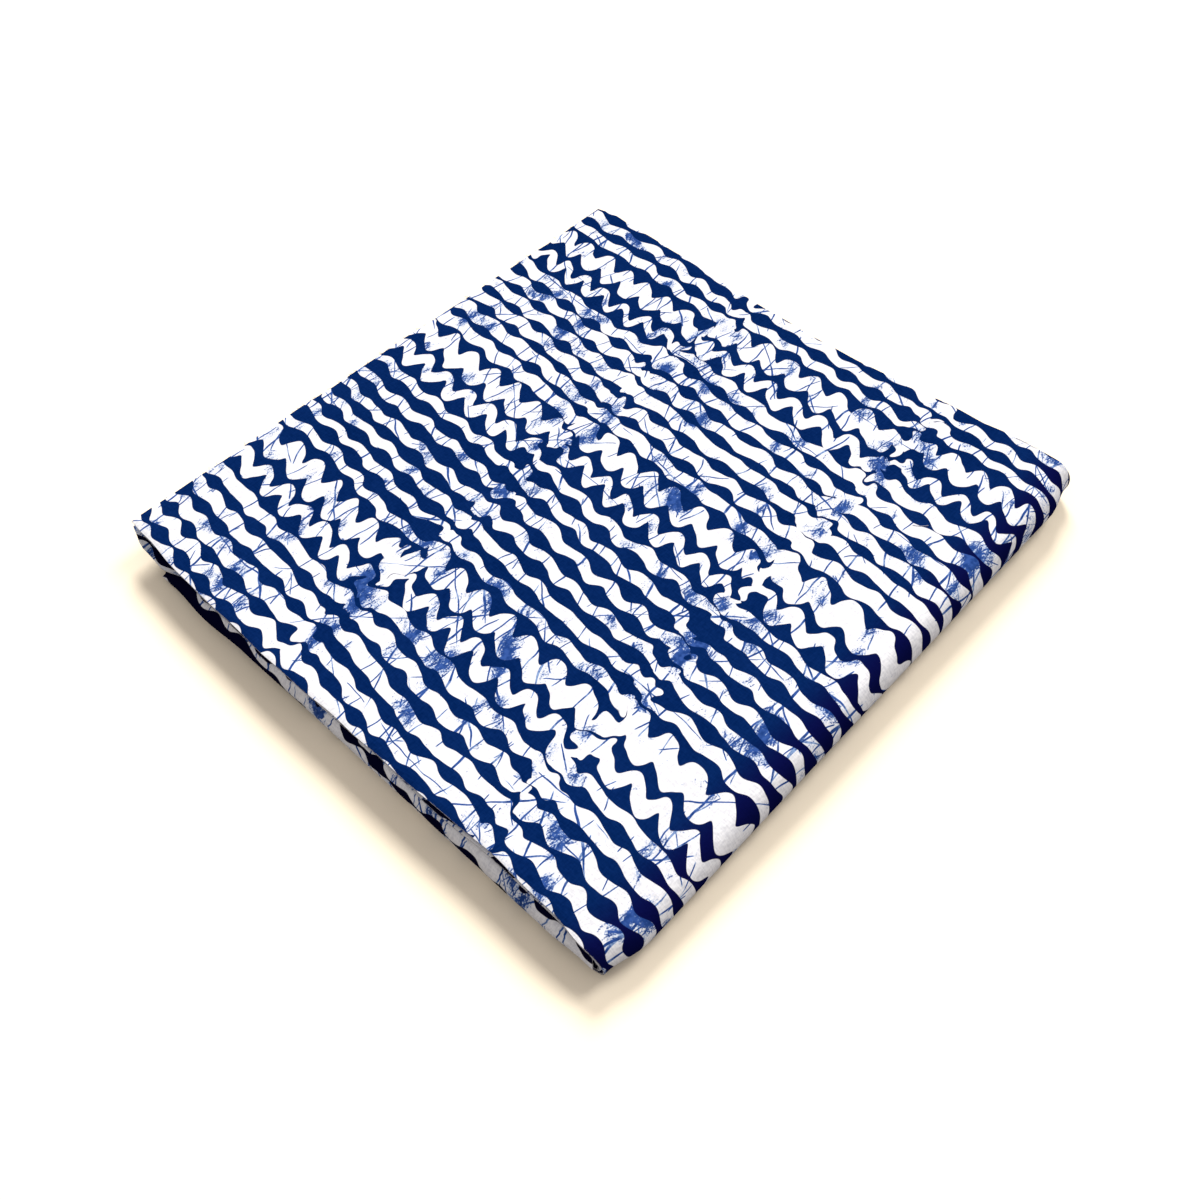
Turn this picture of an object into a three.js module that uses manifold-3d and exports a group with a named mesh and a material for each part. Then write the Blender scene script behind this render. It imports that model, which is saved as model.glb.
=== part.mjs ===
// A length of wax printed cotton, folded flat into a pack.
// Millimetres, +Z up. The origin is under the middle of the pack.
// The cloth is one sheet in two stretches. The cover is doubled, with its fold along +Y
// and its free edges along -Y, and wraps once round the +X side, over and under the pack.
// The bundle inside is folded back and forth, with its fattest fold along -Y.
// They join at the -X end, where the underside of the cover turns up into the bundle.
import * as THREE from 'three';
import { mergeVertices } from 'three/addons/utils/BufferGeometryUtils.js';
import Module from 'manifold-3d';

// Plies, counted upwards from the surface that the pack lies on
const ply = 1.2;
const gap = 0.6;
const pitch = ply + gap;
const underOuter = 0;
const underInner = 1;
const bundleLow = 2;
const bundleTop = 7;
const topOuter = 9;

// Lengths along X
const packStart = -141;
const wrapCentre = 133.8;
const insetFront = 17;
const insetBack = 8;

// Outline from above: y of the free edges on top and below, of the fattest fold's outside
// and of the back folds. Where belly is 1 the fattest fold hangs down beside the cover.
const outline = [
  { x: -141, front: -144.5, under: -131, fat: -149.5, belly: 1, back: 147.5 },
  { x: -110, front: -146.0, under: -131, fat: -150.8, belly: 1, back: 147.0 },
  { x: -60, front: -147.0, under: -131, fat: -150.0, belly: 1, back: 144.5 },
  { x: 0, front: -145.8, under: -132, fat: -148.6, belly: 1, back: 142.3 },
  { x: 50, front: -144.6, under: -133, fat: -147.0, belly: 0, back: 144.5 },
  { x: 90, front: -143.2, under: -140, fat: -146.4, belly: 0, back: 148.5 },
  { x: 115, front: -143.4, under: -143, fat: -146.2, belly: 0, back: 151.0 },
  { x: 134, front: -143.6, under: -143.6, fat: -146.0, belly: 0, back: 150.4 },
];

// Folds of the bundle, in the order in which the cloth goes through them
const folds = [
  { from: 7, to: 2, side: -1, recess: 0, steps: 10 },
  { from: 2, to: 3, side: 1, recess: 3.5, steps: 4 },
  { from: 3, to: 6, side: -1, recess: 0, steps: 7 },
  { from: 6, to: 5, side: 1, recess: 1.5, steps: 4 },
  { from: 5, to: 4, side: -1, recess: 0, steps: 4 },
];

// How far each ply of the bundle stops short at the -X end, and how far it is tucked in
// beside the front corner, where the pack is pressed low
const plyEnds = [
  { ply: 2, short: 0, tucked: 0 },
  { ply: 3, short: 2.5, tucked: 12 },
  { ply: 4, short: 1, tucked: 13 },
  { ply: 5, short: 3.5, tucked: 13 },
  { ply: 6, short: 0.5, tucked: 12 },
  { ply: 7, short: 2, tucked: 0 },
];
const freeEndRecess = 6;
const innerShort = 0.8;

// The link at the -X end, thinner than the plies that its tails run into
const linkPly = 0.9;
const linkTail = 5;
const linkFront = -128;
const linkBack = 133;
const linkShort = 0.5;

// Lines that the plies bend along, across X and across Y
const linesX = [-141, -133, -126, -120, -114, -109, -104, -70, -30, 10, 50, 90, 120, 134];
const linesY = [-146, -141, -134, -125, -117, -109, -100, -40, 30, 100, 146];

// The front corner at -X, where the bundle is pressed low and the lower top ply sags
const cornerX = -104;
const cornerRunX = 22;
const cornerY = -100;
const cornerRunY = 36;
const cornerPress = 0.52;
const tipX = -126;
const tipRun = 14;
const tipSag = 1;

// The fattest fold hangs beside the cover from this line outwards
const bellyY = -134;
const bellyRun = 8;
const floorClear = 0.3;

// Soft swell of the pack, as a share of its height
const swell = 0.016;

function smooth(t) {
  const c = Math.min(1, Math.max(0, t));
  return c * c * (3 - 2 * c);
}

// Value of a table's column at x, eased from row to row
function along(column, x) {
  const last = outline.length - 1;
  if (x <= outline[0].x) return outline[0][column];
  if (x >= outline[last].x) return outline[last][column];
  const i = outline.findIndex((row) => row.x > x) - 1;
  const a = outline[i];
  const b = outline[i + 1];
  return THREE.MathUtils.lerp(a[column], b[column], smooth((x - a.x) / (b.x - a.x)));
}

function plyHeight(level) {
  return ply / 2 + level * pitch;
}

function cornerLow(x, y) {
  return smooth((cornerX - x) / cornerRunX) * smooth((cornerY - y) / cornerRunY);
}

// The whole pack swells and dips a little, and its underside stays flat
function swollen(x, y, z) {
  const wave = Math.sin(x / 46 + 0.6) + Math.sin(y / 38 - x / 90 + 1.1);
  return ply / 2 + (z - ply / 2) * (1 + swell * wave);
}

// Evenly spaced shares from 0 to 1
function shares(steps) {
  return Array.from({ length: steps + 1 }, (_, i) => i / steps);
}

// Places from start to stop on the given lines, which wait in short steps for a late start
// or an early stop
function onLines(lines, start, stop) {
  const wait = 0.5;
  const last = lines.length - 1;
  return lines.map((line, i) => {
    if (i === 0) return start;
    if (i === last) return stop;
    return Math.min(Math.max(line, start + wait * i), stop - wait * (last - i));
  });
}

function bundleStart(y) {
  const t = smooth((y - outline[0].front) / (outline[0].back - outline[0].front));
  return packStart + THREE.MathUtils.lerp(insetFront, insetBack, t);
}

// The fattest fold hangs towards the floor, and all is pressed low at the front corner
function bundleHeight(x, y, level) {
  const top = plyHeight(bundleTop);
  const low = plyHeight(bundleLow);
  const hang = along('belly', x) * smooth((bellyY - y) / bellyRun);
  const stretch = 1 + hang * (low - ply / 2 - floorClear) / (top - low);
  const hungLow = top - (top - low) * stretch;
  const hung = top - (top - plyHeight(level)) * stretch;
  return hungLow + (hung - hungLow) * (1 - cornerPress * cornerLow(x, y));
}

// How far the lower top ply lies below its place, resting on the bundle and past its end
function coverSag(x, y) {
  const tip = tipSag * smooth((tipX - x) / tipRun) * cornerLow(x, y);
  return plyHeight(bundleTop) - bundleHeight(x, y, bundleTop) + tip;
}

// Cover

// A point of the cover's middle surface. On top the place is x, in the wrap it is the share
// of the half turn, and below it is the share of the way back to the -X end. Depth is how
// far the ply lies inside the outermost one.
function coverPoint(run, place, y, depth) {
  const low = plyHeight(underOuter);
  const high = plyHeight(topOuter);
  const radius = (high - low) / 2 - depth;
  const middle = (high + low) / 2;
  if (run === 'top') {
    const sag = (depth / pitch) * coverSag(place, y);
    return new THREE.Vector3(place, y, swollen(place, y, high - depth - sag));
  }
  if (run === 'wrap') {
    const angle = Math.PI * (0.5 - place);
    const x = wrapCentre + radius * Math.cos(angle);
    return new THREE.Vector3(x, y, swollen(x, y, middle + radius * Math.sin(angle)));
  }
  const x = THREE.MathUtils.lerp(wrapCentre, bundleStart(y), place);
  return new THREE.Vector3(x, y, swollen(x, y, low + depth));
}

function coverGrid() {
  const stations = [
    ...onLines(linesX, packStart, wrapCentre).map((x) => ['top', x]),
    ...shares(8).slice(1).map((share) => ['wrap', share]),
    ...shares(7).slice(1).map((share) => ['under', share]),
  ];
  return stations.map(([run, place]) => {
    const x = coverPoint(run, place, 0, 0).x;
    const front = along(run === 'under' ? 'under' : 'front', x);
    const turn = along('back', x) - pitch / 2;
    const outer = onLines(linesY, front, turn).map((y) => [y, 0]);
    const hairpin = shares(4).slice(1, -1).map((turned) => {
      const angle = Math.PI * (0.5 - turned);
      return [turn + (pitch / 2) * Math.cos(angle), (pitch / 2) * (1 - Math.sin(angle))];
    });
    const inner = onLines(linesY, front + innerShort, turn).reverse().map((y) => [y, pitch]);
    return [...outer, ...hairpin, ...inner].map(([y, depth]) => coverPoint(run, place, y, depth));
  });
}

// Bundle

// Where a fold of the bundle turns, in y at x
function turnLine(fold, x) {
  if (fold.side > 0) return along('back', x) - fold.recess - pitch / 2;
  const fattest = (folds[0].from - folds[0].to) * pitch / 2;
  return along('fat', x) + ply / 2 + fattest;
}

// The section of the bundle as rows. Each has its level, which may lie between two plies,
// its y at x, and the two plies that it runs between, with its share of the way.
function bundleRows() {
  const rows = [];
  const run = (level, start, stop, skip) => {
    const steps = linesY.length;
    for (let k = skip; k < steps; k += 1) {
      const y = (x) => {
        const [low, high] = [start(x), stop(x)].sort((a, b) => a - b);
        const places = onLines(linesY, low, high);
        return start(x) < stop(x) ? places[k] : places[steps - 1 - k];
      };
      rows.push({ level, y, from: level, to: level, share: 0 });
    }
  };
  const freeBack = (x) => along('back', x) - freeEndRecess;
  folds.forEach((fold, i) => {
    const start = i === 0 ? freeBack : (x) => turnLine(folds[i - 1], x);
    const stop = (x) => turnLine(fold, x);
    run(fold.from, start, stop, i === 0 ? 0 : 1);
    const half = (fold.from - fold.to) / 2;
    const reach = Math.abs(half) * pitch;
    for (let k = 1; k <= fold.steps; k += 1) {
      const share = k / fold.steps;
      const angle = Math.PI * (0.5 - share);
      rows.push({
        level: fold.to + half + half * Math.sin(angle),
        y: (x) => stop(x) + fold.side * reach * Math.cos(angle),
        from: fold.from,
        to: fold.to,
        share,
      });
    }
  });
  const last = folds[folds.length - 1];
  run(last.to, (x) => turnLine(last, x), freeBack, 1);
  return rows;
}

// The -X end of a row, between the ends of its two plies
function bundleEnd(row, y) {
  const [a, b] = [row.from, row.to].map((level) => plyEnds.find((end) => end.ply === level));
  const short = THREE.MathUtils.lerp(a.short, b.short, row.share);
  const tucked = THREE.MathUtils.lerp(a.tucked, b.tucked, row.share);
  return bundleStart(y) + short + tucked * smooth((cornerY - y) / cornerRunY);
}

// The +X end of a row, one gap inside the round of the cover's wrap
function bundleStop(row) {
  const rise = (row.level - (underOuter + topOuter) / 2) * pitch;
  const round = ((bundleTop - bundleLow) / 2) * pitch;
  return wrapCentre + Math.sqrt(Math.max(0, round * round - rise * rise));
}

function bundleGrid() {
  return bundleRows().map((row) => {
    const start = bundleEnd(row, row.y(packStart + insetFront));
    return onLines(linesX, start, bundleStop(row)).map((x) => {
      const y = row.y(x);
      return new THREE.Vector3(x, y, swollen(x, y, bundleHeight(x, y, row.level)));
    });
  });
}

// Link, the short fold at the -X end that turns the cover's inner ply up into the bundle
function linkGrid() {
  const radius = pitch / 2;
  const middle = plyHeight(underInner) + radius;
  const profile = [
    [linkTail, -radius],
    ...shares(4).map((share) => {
      const angle = Math.PI * (share - 0.5);
      return [-radius * Math.cos(angle), radius * Math.sin(angle)];
    }),
    [linkTail, radius],
  ];
  return shares(8).map((share) => {
    const y = THREE.MathUtils.lerp(linkFront, linkBack, share);
    const turn = bundleStart(y) + linkShort;
    return profile.map(([dx, dz]) => new THREE.Vector3(turn + dx, y, middle + dz));
  });
}

// A grid of points on the middle surface becomes a closed sheet of the given thickness
function sheet(grid, thickness) {
  const rows = grid.length;
  const columns = grid[0].length;
  const clamp = (value, top) => Math.min(top, Math.max(0, value));
  const across = (i, j, di, dj) => {
    const ahead = grid[clamp(i + di, rows - 1)][clamp(j + dj, columns - 1)];
    const behind = grid[clamp(i - di, rows - 1)][clamp(j - dj, columns - 1)];
    return new THREE.Vector3().subVectors(ahead, behind);
  };
  const positions = [];
  for (const side of [0.5, -0.5]) {
    for (let i = 0; i < rows; i += 1) {
      for (let j = 0; j < columns; j += 1) {
        const normal = across(i, j, 1, 0).cross(across(i, j, 0, 1)).normalize();
        positions.push(...normal.multiplyScalar(side * thickness).add(grid[i][j]).toArray());
      }
    }
  }
  const index = [];
  const far = rows * columns;
  const quad = (a, b, c, d) => index.push(a, b, c, a, c, d);
  for (let i = 0; i < rows - 1; i += 1) {
    for (let j = 0; j < columns - 1; j += 1) {
      const a = i * columns + j;
      quad(a, a + columns, a + columns + 1, a + 1);
      quad(far + a, far + a + 1, far + a + columns + 1, far + a + columns);
    }
  }
  const rim = [];
  for (let j = 0; j < columns - 1; j += 1) rim.push(j);
  for (let i = 0; i < rows - 1; i += 1) rim.push(i * columns + columns - 1);
  for (let j = columns - 1; j > 0; j -= 1) rim.push((rows - 1) * columns + j);
  for (let i = rows - 1; i > 0; i -= 1) rim.push(i * columns);
  rim.forEach((a, k) => {
    const b = rim[(k + 1) % rim.length];
    quad(a, b, far + b, far + a);
  });
  const geometry = new THREE.BufferGeometry();
  geometry.setAttribute('position', new THREE.Float32BufferAttribute(positions, 3));
  geometry.setIndex(index);
  return geometry;
}

const wasm = await Module();
wasm.setup();

// A closed mesh as a solid
function solid(geometry) {
  const merged = mergeVertices(geometry, 1e-5);
  return new wasm.Manifold(new wasm.Mesh({
    numProp: 3,
    vertProperties: Float32Array.from(merged.attributes.position.array),
    triVerts: Uint32Array.from(merged.index.array),
  }));
}

function asGeometry(body) {
  const mesh = body.getMesh();
  const geometry = new THREE.BufferGeometry();
  geometry.setAttribute('position', new THREE.BufferAttribute(mesh.vertProperties, 3));
  geometry.setIndex(new THREE.BufferAttribute(mesh.triVerts, 1));
  return geometry;
}

const cover = solid(sheet(coverGrid(), ply));
const bundle = solid(sheet(bundleGrid(), ply));
const link = solid(sheet(linkGrid(), linkPly));
const clothGeometry = asGeometry(cover.add(bundle).add(link));
clothGeometry.computeVertexNormals();
clothGeometry.computeBoundingBox();
const box = clothGeometry.boundingBox;
clothGeometry.translate(-(box.min.x + box.max.x) / 2, -(box.min.y + box.max.y) / 2, -box.min.z);

const cotton = new THREE.MeshStandardMaterial({ color: 0x4a63a4, roughness: 0.9, metalness: 0 });
const cloth = new THREE.Mesh(clothGeometry, cotton);
cloth.name = 'cloth';

const pack = new THREE.Group();
pack.add(cloth);

export default pack;
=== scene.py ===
"""A length of wax printed cotton, folded flat into a pack, dressed for rendering.

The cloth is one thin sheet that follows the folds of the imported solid: a doubled cover that
wraps once round the +X side, and a bundle inside that is folded back and forth. The print is
made of nodes, in millimetres of the flat cloth. Sizes are in millimetres until a mesh is made.
Seen from the camera, the left corner is at -X and -Y, and the front corner at +X and -Y.
"""
import math

import bpy
import numpy as np
from mathutils import Matrix, Vector


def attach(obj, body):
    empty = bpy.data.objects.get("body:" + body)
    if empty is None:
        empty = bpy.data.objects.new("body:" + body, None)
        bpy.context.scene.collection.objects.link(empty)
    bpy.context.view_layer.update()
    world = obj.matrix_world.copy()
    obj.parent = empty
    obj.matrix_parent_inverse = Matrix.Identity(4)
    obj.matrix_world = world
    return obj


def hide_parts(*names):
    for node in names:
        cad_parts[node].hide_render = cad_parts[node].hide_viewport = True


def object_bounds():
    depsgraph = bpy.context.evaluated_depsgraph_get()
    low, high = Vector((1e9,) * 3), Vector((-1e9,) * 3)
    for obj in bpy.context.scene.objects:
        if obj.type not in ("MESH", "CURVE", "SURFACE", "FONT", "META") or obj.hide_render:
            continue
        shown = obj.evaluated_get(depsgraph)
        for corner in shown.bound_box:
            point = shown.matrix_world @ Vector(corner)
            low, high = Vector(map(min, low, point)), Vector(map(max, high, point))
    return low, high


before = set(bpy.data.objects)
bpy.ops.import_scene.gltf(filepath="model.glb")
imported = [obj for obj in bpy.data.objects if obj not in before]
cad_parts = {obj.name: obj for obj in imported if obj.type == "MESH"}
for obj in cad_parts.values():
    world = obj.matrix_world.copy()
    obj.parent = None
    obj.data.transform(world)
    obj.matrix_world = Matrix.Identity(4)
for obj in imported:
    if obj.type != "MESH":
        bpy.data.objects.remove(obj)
solid_lo, solid_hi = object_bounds()

MM = 0.001

# Plies, counted upwards from the surface that the pack lies on. The solid's plies are thicker.
PLY = 0.8
SOLID_PLY = 1.2
SOLID_PITCH = 1.8
TOP_OUTER = 9
BUNDLE_LOW = 2
BUNDLE_TOP = 7
PITCH = (SOLID_PLY + TOP_OUTER * SOLID_PITCH - PLY) / TOP_OUTER

# Lengths along X: where the cover starts and where its wrap's round is centred, and how far
# inside that start the bundle starts, at the front and at the back
PACK_START = -141.0
WRAP_CENTRE = 133.8
INSET_FRONT = 22.0
INSET_BACK = 8.0

# Outline from above: y of the free edges on top and below, of the fattest fold's outside
# and of the back folds. Where belly is 1 the fattest fold hangs down beside the cover.
OUTLINE = {
    "x": (-141, -133, -110, -85, -60, 0, 50, 90, 115, 134),
    "front": (-144.3, -145.0, -146.2, -146.9, -147.4, -146.2, -144.8, -143.4, -143.4, -144.8),
    "under": (-131, -131, -131, -131, -131, -132, -133, -134, -138, -144.8),
    "fat": (-149.0, -149.2, -149.4, -150.9, -149.5, -148.4, -147.8, -147.4, -147.2, -146.2),
    "belly": (1, 1, 1, 1, 1, 1, 1, 1, 0.6, 0),
    "back": (145.2, 147.3, 147.0, 145.9, 144.5, 142.3, 144.5, 148.5, 151.0, 150.4),
}

# Folds of the bundle, in the order in which the cloth goes through them
FOLDS = (
    {"from": 7, "to": 2, "side": -1, "recess": 0.0, "steps": 18},
    {"from": 2, "to": 3, "side": 1, "recess": 3.5, "steps": 6},
    {"from": 3, "to": 6, "side": -1, "recess": 0.0, "steps": 12},
    {"from": 6, "to": 5, "side": 1, "recess": 1.5, "steps": 6},
    {"from": 5, "to": 4, "side": -1, "recess": 0.0, "steps": 6},
)

# How far each ply of the bundle stops short at the -X end, and how far it is tucked in at the
# left corner, where the pack is pressed low
SHORT = {2: 0.0, 3: 2.5, 4: 1.0, 5: 3.5, 6: 0.5, 7: 2.0}
TUCKED = {2: 0.0, 3: 12.0, 4: 13.0, 5: 13.0, 6: 12.0, 7: 0.0}
FREE_END_RECESS = 6.0
INNER_SHORT = 0.3

# The link at the -X end that turns the cover's inner ply up into the bundle, and the place of
# its turn on the flat cloth
LINK_TAIL = 5.0
LINK_FRONT = -128.0
LINK_BACK = 133.0
LINK_SHORT = 0.5
LINK_FLAT_X, LINK_FLAT_Y = 400.0, 295.0

# At the left corner the bundle is pressed low, and the lower top ply sags and stands proud.
# Further along it still shows a little.
CORNER_X, CORNER_RUN_X = -96.0, 24.0
CORNER_Y, CORNER_RUN_Y = -100.0, 36.0
CORNER_PRESS = 0.66
SAG_SHARE = 0.62
SAG_START, SAG_RUN = -145.0, 14.0
PROUD, PROUD_X, PROUD_RUN = 3.2, -102.0, 16.0
SHOWN, SHOWN_FROM, SHOWN_TO, SHOWN_RUN = 1.0, 20.0, 128.0, 30.0

# The ends of the wrap's round are drawn in
DRAWN_IN = 3.6
DRAWN_FRONT, DRAWN_BACK, DRAWN_RUN = -126.0, 130.0, 18.0
DRAWN_X, DRAWN_RUN_X = 104.0, 34.0

# The fattest fold hangs beside the cover from this line outwards
BELLY_Y, BELLY_RUN = -134.0, 8.0
FLOOR_CLEAR = 0.3

# The pack droops towards its front corner, by this share of its height
DROOP = 0.2
DROOP_X, DROOP_RUN_X = 98.0, 46.0
DROOP_Y, DROOP_RUN_Y = -26.0, 110.0

# Soft swell of the pack, as a share of its height, and small waves of the single plies and of
# their edges. Each wave's lengths are for one radian of it.
SWELL = 0.016
SWELL_X, SWELL_Y, SWELL_SLANT = 46.0, 38.0, 90.0
SWELL_START_X, SWELL_START_Y = 0.6, 1.1
PLY_WAVE = 0.28
PLY_WAVE_X, PLY_WAVE_Y = 33.0, 41.0
EDGE_WAVE = 0.3
EDGE_WAVE_LONG, EDGE_WAVE_SHORT = 11.0, 4.7

# The cut edge at -X wanders, and the wander fades out over this run
CUT_RUN = 6.0
CUT_SEED = 4.0

# Mesh steps, and the rough depth of the pack that they divide
FINE = 3.0
COARSE = 6.0
DEPTH = 290.0
WRAP_STEPS = 20
HAIRPIN_STEPS = 6
LINK_STEPS = 8
LINK_ROWS = 44


def smooth(t):
    c = np.clip(t, 0.0, 1.0)
    return c * c * (3 - 2 * c)


def lerp(a, b, t):
    return a + (b - a) * t


def along(column, x):
    """Value of a column of the outline at x, eased from row to row."""
    xs = np.array(OUTLINE["x"], dtype=float)
    values = np.array(OUTLINE[column], dtype=float)
    i = np.clip(np.searchsorted(xs, x, side="right") - 1, 0, len(xs) - 2)
    return lerp(values[i], values[i + 1], smooth((x - xs[i]) / (xs[i + 1] - xs[i])))


def ply_height(level):
    """The middle of a ply above the floor."""
    return PLY / 2 + level * PITCH


def corner_low(x, y):
    """How far into the low left corner a place is, from 0 to 1."""
    return smooth((CORNER_X - x) / CORNER_RUN_X) * smooth((CORNER_Y - y) / CORNER_RUN_Y)


def swollen(x, y, z):
    """The whole pack swells, dips and droops a little, and its underside stays flat."""
    wave = np.sin(x / SWELL_X + SWELL_START_X)
    wave = wave + np.sin(y / SWELL_Y - x / SWELL_SLANT + SWELL_START_Y)
    droop = DROOP * smooth((x - DROOP_X) / DROOP_RUN_X) * smooth((DROOP_Y - y) / DROOP_RUN_Y)
    return PLY / 2 + (z - PLY / 2) * (1 + SWELL * wave - droop)


def drawn_in(x, y):
    """How far the +X side is drawn in at its two ends."""
    ends = smooth((DRAWN_FRONT - y) / DRAWN_RUN) + smooth((y - DRAWN_BACK) / DRAWN_RUN)
    return DRAWN_IN * ends * smooth((x - DRAWN_X) / DRAWN_RUN_X)


def edge_wave(place, seed):
    """Small wander of an edge along its length."""
    short = 0.6 * np.sin(place / EDGE_WAVE_SHORT + 2.3 * seed)
    return EDGE_WAVE * (np.sin(place / EDGE_WAVE_LONG + seed) + short)


def ply_wave(x, y, level):
    """Small waves of a ply of the bundle, of its own for each level."""
    along_x = np.sin(x / PLY_WAVE_X + 2.1 * level)
    along_y = np.sin(y / PLY_WAVE_Y + 1.7 * level + 0.5)
    return PLY_WAVE * along_x * along_y


def bundle_start(y):
    """The x at which the bundle starts at y."""
    front, back = OUTLINE["front"][0], OUTLINE["back"][0]
    return PACK_START + lerp(INSET_FRONT, INSET_BACK, smooth((y - front) / (back - front)))


def bundle_height(x, y, level):
    """The fattest fold hangs towards the floor, and all is pressed low at the left corner."""
    top, low = ply_height(BUNDLE_TOP), ply_height(BUNDLE_LOW)
    hang = along("belly", x) * smooth((BELLY_Y - y) / BELLY_RUN)
    stretch = 1 + hang * (low - PLY / 2 - FLOOR_CLEAR) / (top - low)
    hung_low = top - (top - low) * stretch
    hung = top - (top - ply_height(level)) * stretch
    waved = hung + ply_wave(x, y, level) - hung_low
    return hung_low + waved * (1 - CORNER_PRESS * corner_low(x, y))


def cover_sag(x, y):
    """How far the lower top ply lies below its place, on the bundle and past its end."""
    kept_up = smooth((x - SAG_START) / SAG_RUN)
    share = 1 - corner_low(x, y) * (1 - SAG_SHARE * kept_up)
    flat_top = ply_height(BUNDLE_TOP) + ply_wave(x, y, BUNDLE_TOP)
    return (flat_top - bundle_height(x, y, BUNDLE_TOP)) * share


# Cover: every point has its place in space and its place on the flat cloth

def cover_columns(x, under):
    """Places across the cover at x: y, depth inside the outermost ply, and flat place."""
    radius = PITCH / 2
    front = along("under" if under else "front", x) + edge_wave(x, 3.0 if under else 1.0)
    turn = along("back", x) + SOLID_PLY / 2 - PLY / 2 - radius + edge_wave(x, 2.0)
    proud = PROUD * smooth((PROUD_X - x) / PROUD_RUN) * smooth((x - SAG_START) / SAG_RUN)
    shown = SHOWN * smooth((x - SHOWN_FROM) / SHOWN_RUN) * smooth((SHOWN_TO - x) / SHOWN_RUN)
    inner_front = front + INNER_SHORT + edge_wave(x, 5.0) - (0 if under else proud + shown)
    outer = np.linspace(0, 1, round(DEPTH / FINE) + 1)
    inner = np.linspace(0, 1, round(DEPTH / COARSE) + 1)
    angle = np.linspace(0, math.pi, HAIRPIN_STEPS + 1)[1:-1]
    outer_y = lerp(front, turn, outer)
    hairpin_y = turn + radius * np.sin(angle)
    inner_y = lerp(turn, inner_front, inner)
    y = np.concatenate([outer_y, hairpin_y, inner_y])
    depth = np.concatenate([0 * outer, radius * (1 - np.cos(angle)), 0 * inner + PITCH])
    flat = np.concatenate([outer_y, turn + radius * angle, 2 * turn + radius * math.pi - inner_y])
    return y, depth, flat


def cover_grid():
    """The cover over the pack, round its +X side and back under it."""
    low, high = ply_height(0), ply_height(TOP_OUTER)
    middle, outer_radius = (low + high) / 2, (high - low) / 2
    top_x = np.linspace(PACK_START, WRAP_CENTRE, round((WRAP_CENTRE - PACK_START) / FINE) + 1)
    wraps = np.linspace(0, 1, WRAP_STEPS + 1)[1:]
    unders = np.linspace(0, 1, round((WRAP_CENTRE - PACK_START) / COARSE) + 1)[1:]
    points, flats = [], []
    for x in top_x:
        y, depth, flat = cover_columns(x, False)
        start = x + edge_wave(y, CUT_SEED) * smooth((PACK_START + CUT_RUN - x) / CUT_RUN)
        sag = depth / PITCH * cover_sag(x, y)
        z = swollen(x, y, high - depth - sag)
        points.append(np.stack([start - drawn_in(x, y), y, z], axis=1))
        flats.append(np.stack([start, flat], axis=1))
    for share in wraps:
        angle = math.pi * (0.5 - share)
        y, depth, flat = cover_columns(WRAP_CENTRE + outer_radius * math.cos(angle), False)
        x = WRAP_CENTRE + (outer_radius - depth) * math.cos(angle)
        z = middle + (outer_radius - depth) * math.sin(angle)
        points.append(np.stack([x - drawn_in(x, y), y, swollen(x, y, z)], axis=1))
        flats.append(np.stack([0 * y + WRAP_CENTRE + math.pi * outer_radius * share, flat], axis=1))
    for share in unders:
        y, depth, flat = cover_columns(lerp(WRAP_CENTRE, bundle_start(0.0), share), True)
        x = lerp(WRAP_CENTRE, bundle_start(y), share)
        points.append(np.stack([x - drawn_in(x, y), y, swollen(x, y, low + depth)], axis=1))
        flats.append(np.stack([2 * WRAP_CENTRE + math.pi * outer_radius - x, flat], axis=1))
    return np.array(points), np.array(flats)


# Bundle

def turn_line(fold, x):
    """Where a fold of the bundle turns, in y at x."""
    if fold["side"] > 0:
        return along("back", x) + (SOLID_PLY - PLY) / 2 - fold["recess"] - PITCH / 2
    fattest = (FOLDS[0]["from"] - FOLDS[0]["to"]) * PITCH / 2
    return along("fat", x) + PLY / 2 + fattest


def bundle_lines(x):
    """The y at x of the lines that the bundle's section runs between: its free end on top,
    its folds in order, and its other free end."""
    free = along("back", x) - FREE_END_RECESS
    return np.array([free, *(turn_line(fold, x) for fold in FOLDS), free])


def bundle_rows():
    """The section of the bundle as rows: level, how short and how far tucked in each stops at
    -X, the two lines it lies between with its share of the way, and its offset from there."""
    rows = []
    ply_steps = round(DEPTH / COARSE)

    def run(ply, line, skip):
        for k in range(skip, ply_steps + 1):
            rows.append((ply, SHORT[ply], TUCKED[ply], line, line + 1, k / ply_steps, 0.0))

    for i, fold in enumerate(FOLDS):
        run(fold["from"], i, 0 if i == 0 else 1)
        half = (fold["from"] - fold["to"]) / 2
        for k in range(1, fold["steps"] + 1):
            share = k / fold["steps"]
            angle = math.pi * (0.5 - share)
            short = lerp(SHORT[fold["from"]], SHORT[fold["to"]], share)
            tucked = lerp(TUCKED[fold["from"]], TUCKED[fold["to"]], share)
            offset = fold["side"] * abs(half) * PITCH * math.cos(angle)
            height = fold["to"] + half + half * math.sin(angle)
            rows.append((height, short, tucked, i + 1, i + 1, 0.0, offset))
    run(FOLDS[-1]["to"], len(FOLDS), 1)
    return np.array(rows).T


def rows_at(rows, x):
    """The y of every row, each at its own x."""
    lines = bundle_lines(x)
    number = np.arange(rows.shape[1])
    start, stop = lines[rows[3].astype(int), number], lines[rows[4].astype(int), number]
    return lerp(start, stop, rows[5]) + rows[6]


def bundle_stop(level):
    """The +X end of a row, one gap inside the round of the cover's wrap."""
    rise = (level - TOP_OUTER / 2) * PITCH
    reach = (BUNDLE_TOP - BUNDLE_LOW) / 2 * PITCH
    return WRAP_CENTRE + np.sqrt(np.maximum(0, reach * reach - rise * rise))


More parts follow.
